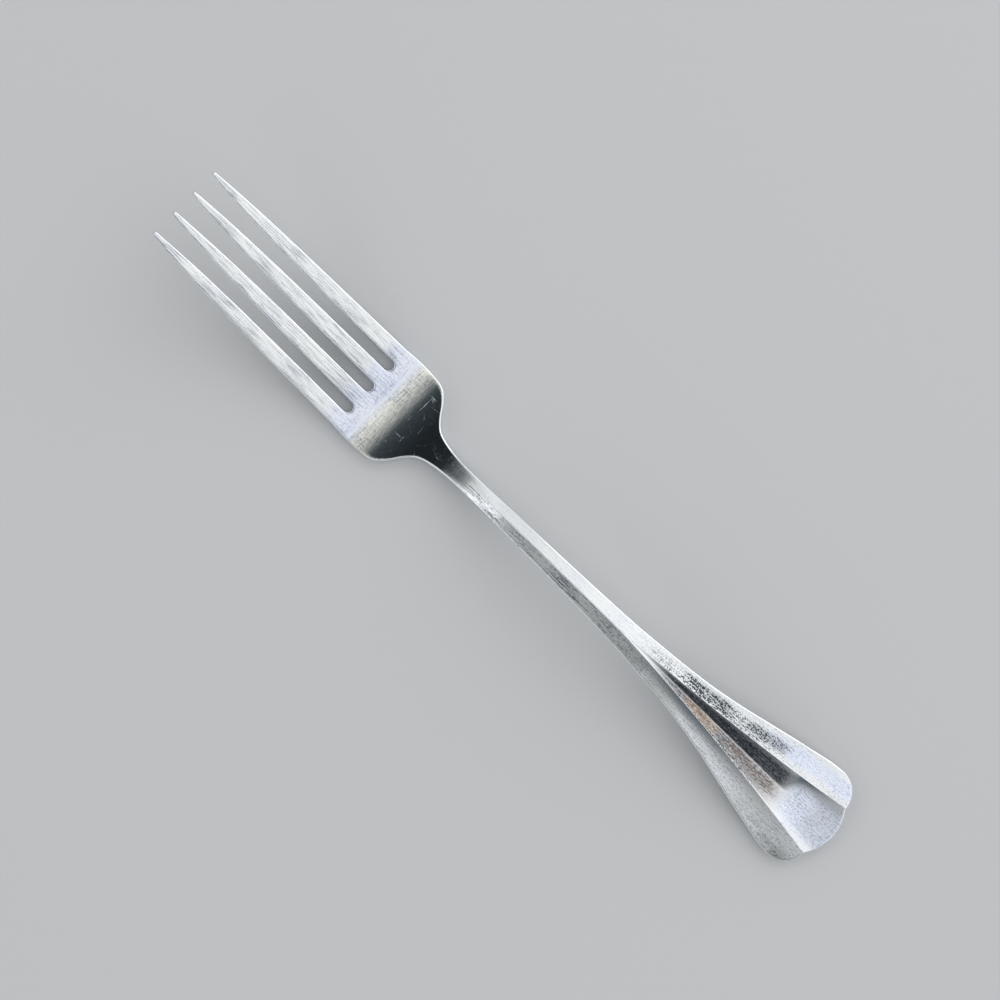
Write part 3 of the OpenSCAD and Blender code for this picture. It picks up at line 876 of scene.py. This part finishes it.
def silver_plate():
    """Silver plate on white metal after years of use. Wiping has drawn fine lines along the
    tines, the heel is rubbed to a mirror with a few bright scratches, the lobes are clouded,
    and brown tarnish is left in the valley, where no cloth reaches. Painted shade greys the left
    sides of the tines, the handle and the fan, and painted reflection tints colour the head, the pan
    and the lobes' ends in lavender and cream."""
    material = bpy.data.materials.new("worn_silver_plate")
    tree = emptied_tree(material)
    place = add(tree, "Attribute", attribute_name="place").outputs["Vector"]
    # The film and cloud wear also carry painted shade, and the cool tone carries painted reflection tints
    wear = SimpleNamespace(
        **{name: add(tree, "Attribute", attribute_name=name).outputs["Fac"] for name in ["edge", *BACK_WEAR]}
    )
    along = add(tree, "SeparateXYZ", [place]).outputs["Y"]
    on_palm = add(tree, "MapRange", [along, *CROSSING_BEGINS, 0, 0.8])
    off_palm = add(tree, "MapRange", [along, *CROSSING_ENDS, 1, 0])
    crosswise = add(tree, "Math", [on_palm, off_palm], operation="MULTIPLY")
    patterns = plate_patterns(tree, place)
    streaks = plate_streaks(tree, patterns, along, crosswise)
    wide = add(tree, "Math", [patterns.patches, 0.4, streaks], operation="MULTIPLY_ADD")
    clouded_and_shaded = plate_clouding_and_shade(tree, patterns, wear, crosswise, wide)
    scratched = plate_scratches(tree, patterns, place)

    # Colour: clean silver between cream and lavender, with painted reflection tints, blue-grey
    # clouds that also paint shade on the left sides, tarnish between grey and brown, and dark pits
    cast = add(tree, "MapRange", [patterns.patches, 0.35, 0.65, -0.08, 0.08])
    cold_tone_and_reflection = add(tree, "Math", [wear.blue, cast], operation="ADD", use_clamp=True)
    colour = add(tree, "MixRGB", [cold_tone_and_reflection, hex_colour(CREAM_SILVER_AND_REFLECTION), hex_colour(LAVENDER_SILVER_AND_REFLECTION)])
    colour = add(tree, "MixRGB", [clouded_and_shaded, colour, hex_colour(CLOUD_AND_SHADE_GREY)])
    spots = add(tree, "MapRange", [patterns.clouds, 0.3, 0.64, 0.1, 1.1])
    browned = add(tree, "Math", [wear.brown, spots], operation="MULTIPLY", use_clamp=True)
    tarnish_colour = add(tree, "MixRGB", [browned, hex_colour(TARNISH_GREY), hex_colour(TARNISH_BROWN)])
    spread = add(tree, "MapRange", [streaks, 0.75, 1.25, 1.3, 0.5])
    tarnished = add(tree, "Math", [wear.tarnish, spread], operation="MULTIPLY", use_clamp=True)
    colour = add(tree, "MixRGB", [tarnished, colour, tarnish_colour])
    pits = add(tree, "MapRange", [patterns.specks, 0.68, 0.73, 0, 0.6])
    colour = add(tree, "MixRGB", [pits, colour, hex_colour(PIT_BROWN)])

    # Haze: rougher where clouded or painted with shade, tarnished or scratched
    rough = add(tree, "MapRange", [wide, 0.85, 1.45, 0.75, 1.4])
    rough = add(tree, "Math", [wear.haze, rough], operation="MULTIPLY")
    rough = add(tree, "Math", [clouded_and_shaded, 0.1, rough], operation="MULTIPLY_ADD")
    rough = add(tree, "Math", [tarnished, 0.1, rough], operation="MULTIPLY_ADD")
    rough = add(tree, "Math", [scratched, 0.4, rough], operation="MULTIPLY_ADD")

    relief = add(tree, "Math", [streaks, wear.brushed], operation="MULTIPLY")
    bump = add(tree, "Bump", {"Strength": 1.0, "Distance": WIPE_DEPTH * MM, "Height": relief})
    finish = {"Metallic": 1.0, "Roughness": rough, "Base Color": colour, "Normal": bump}
    add(tree, "OutputMaterial", [add(tree, "BsdfPrincipled", finish)])
    return material


def matt_paper():
    """Uncoated paper: pale, even and without gloss."""
    material = bpy.data.materials.new("matt_paper")
    tree = emptied_tree(material)
    finish = {"Roughness": 0.95, "Base Color": hex_colour(PAPER_GREY), "Specular IOR Level": 0.2}
    add(tree, "OutputMaterial", [add(tree, "BsdfPrincipled", finish)])
    return material


fork.data.materials.append(silver_plate())

floor_mesh = bpy.data.meshes.new("floor")
corners = [(x * FLOOR_HALF, y * FLOOR_HALF, 0) for x, y in [(-1, -1), (1, -1), (1, 1), (-1, 1)]]
floor_mesh.from_pydata(corners, [], [(0, 1, 2, 3)])
floor = bpy.data.objects.new("floor", floor_mesh)
bpy.context.scene.collection.objects.link(floor)
floor.data.materials.append(matt_paper())


def studio_dome():
    """A soft dome: bright over the fork's right and over its handle, dimmer over its left, with
    a dark card above the tines and a window beyond them. Its walls are pale all round."""
    world = bpy.data.worlds.new("studio_dome")
    tree = emptied_tree(world)
    aim = add(tree, "TexCoord").outputs["Generated"]
    x, y, z = add(tree, "SeparateXYZ", [aim]).outputs

    # From side to side: dimmer to the left, and to the right brighter over the handle than over
    # the tines
    left = add(tree, "MapRange", [x, -0.45, -0.02, 0.43, 0.98], interpolation_type="SMOOTHSTEP")
    rise = add(tree, "MapRange", [y, -0.2, 0.4, 0.12, -0.12])
    right = add(tree, "MapRange", [x, -0.02, 0.25, 0, rise], interpolation_type="SMOOTHSTEP")
    sides = add(tree, "Math", [left, right], operation="ADD")

    # A dark card above the tines, and a dim corner to the left of the handle
    around = add(tree, "Mapping", {
        "Vector": aim, "Location": (0, -CARD_Y / CARD_HALF_Y, 0),
        "Scale": (1 / CARD_HALF_X, 1 / CARD_HALF_Y, 0),
    })
    off = add(tree, "VectorMath", [around], operation="LENGTH").outputs["Value"]
    deep = add(tree, "MapRange", [y, 0.14, 0.36, 0.085, 0.022])
    dark = add(tree, "MapRange", [off, 0.76, 1.28, deep, 1], interpolation_type="SMOOTHSTEP")
    corner = add(tree, "VectorMath", [aim, DIM_CORNER], operation="DOT_PRODUCT").outputs["Value"]
    shade = add(tree, "MapRange", [corner, 0.5, 0.75, 1, 0.25], interpolation_type="SMOOTHSTEP")
    shade = add(tree, "Math", [dark, shade], operation="MULTIPLY")

    # A window beyond the tines, brightest to its left
    aside = add(tree, "Math", [x], operation="ABSOLUTE")
    over = add(tree, "Math", [aside, 0.15, y], operation="MULTIPLY_ADD")
    window = add(tree, "MapRange", [x, -0.24, -0.04, 1.2, 0.74])
    window = add(tree, "Math", [window, add(tree, "MapRange", [x, 0.15, 0.4, 0, 0.2])], operation="ADD")
    beyond = add(tree, "MapRange", [over, 0.512, 0.635, 0, window], interpolation_type="SMOOTHSTEP")

    # A bright strip low on the left, and pale walls all round
    rim = add(tree, "MapRange", [x, -0.78, -0.62, 0.85, 0], interpolation_type="SMOOTHSTEP")
    wall = add(tree, "MapRange", [z, 0.25, 0.45, 0.98, 0], interpolation_type="SMOOTHSTEP")

    strength = add(tree, "Math", [sides, shade], operation="MULTIPLY")
    for light in (beyond, rim, wall):
        strength = add(tree, "Math", [strength, light], operation="MAXIMUM")
    plain = add(tree, "MapRange", [strength, 0.1, 0.45, 0, 1])
    colour = add(tree, "MixRGB", [plain, hex_colour(DOME_SHADE), hex_colour(DOME_LIGHT)])
    add(tree, "OutputWorld", [add(tree, "Background", {"Strength": strength, "Color": colour})])
    return world


def aimed(place, aim, up):
    """Turns an object at a place towards its aim, with up as the top of its view."""
    back = (Vector(place) - Vector(aim)).normalized()
    right = Vector(up).cross(back).normalized()
    return Matrix.Translation(place) @ Matrix((right, back.cross(right), back)).transposed().to_4x4()


bpy.context.scene.world = studio_dome()
bpy.context.scene.view_settings.view_transform = "Standard"

# A softbox up on the fork's right gives the soft shadow on its left
softbox = bpy.data.lights.new("softbox", "AREA")
softbox.shape = "RECTANGLE"
softbox.size, softbox.size_y = SOFTBOX_SIDE, SOFTBOX_SIDE
softbox.energy = SOFTBOX_POWER
lamp = bpy.data.objects.new("softbox", softbox)
lamp.matrix_world = aimed(SOFTBOX_PLACE, (0, 0, 0), (0, 0, 1))
bpy.context.scene.collection.objects.link(lamp)

# The photo looks down on the fork from about 0.4 m, with the tines to the upper left
camera = bpy.data.objects.new("camera", bpy.data.cameras.new("camera"))
camera.data.lens = CAMERA_LENS
camera.matrix_world = aimed(CAMERA_PLACE, CAMERA_AIM, CAMERA_UP)
bpy.context.scene.collection.objects.link(camera)
bpy.context.scene.camera = camera
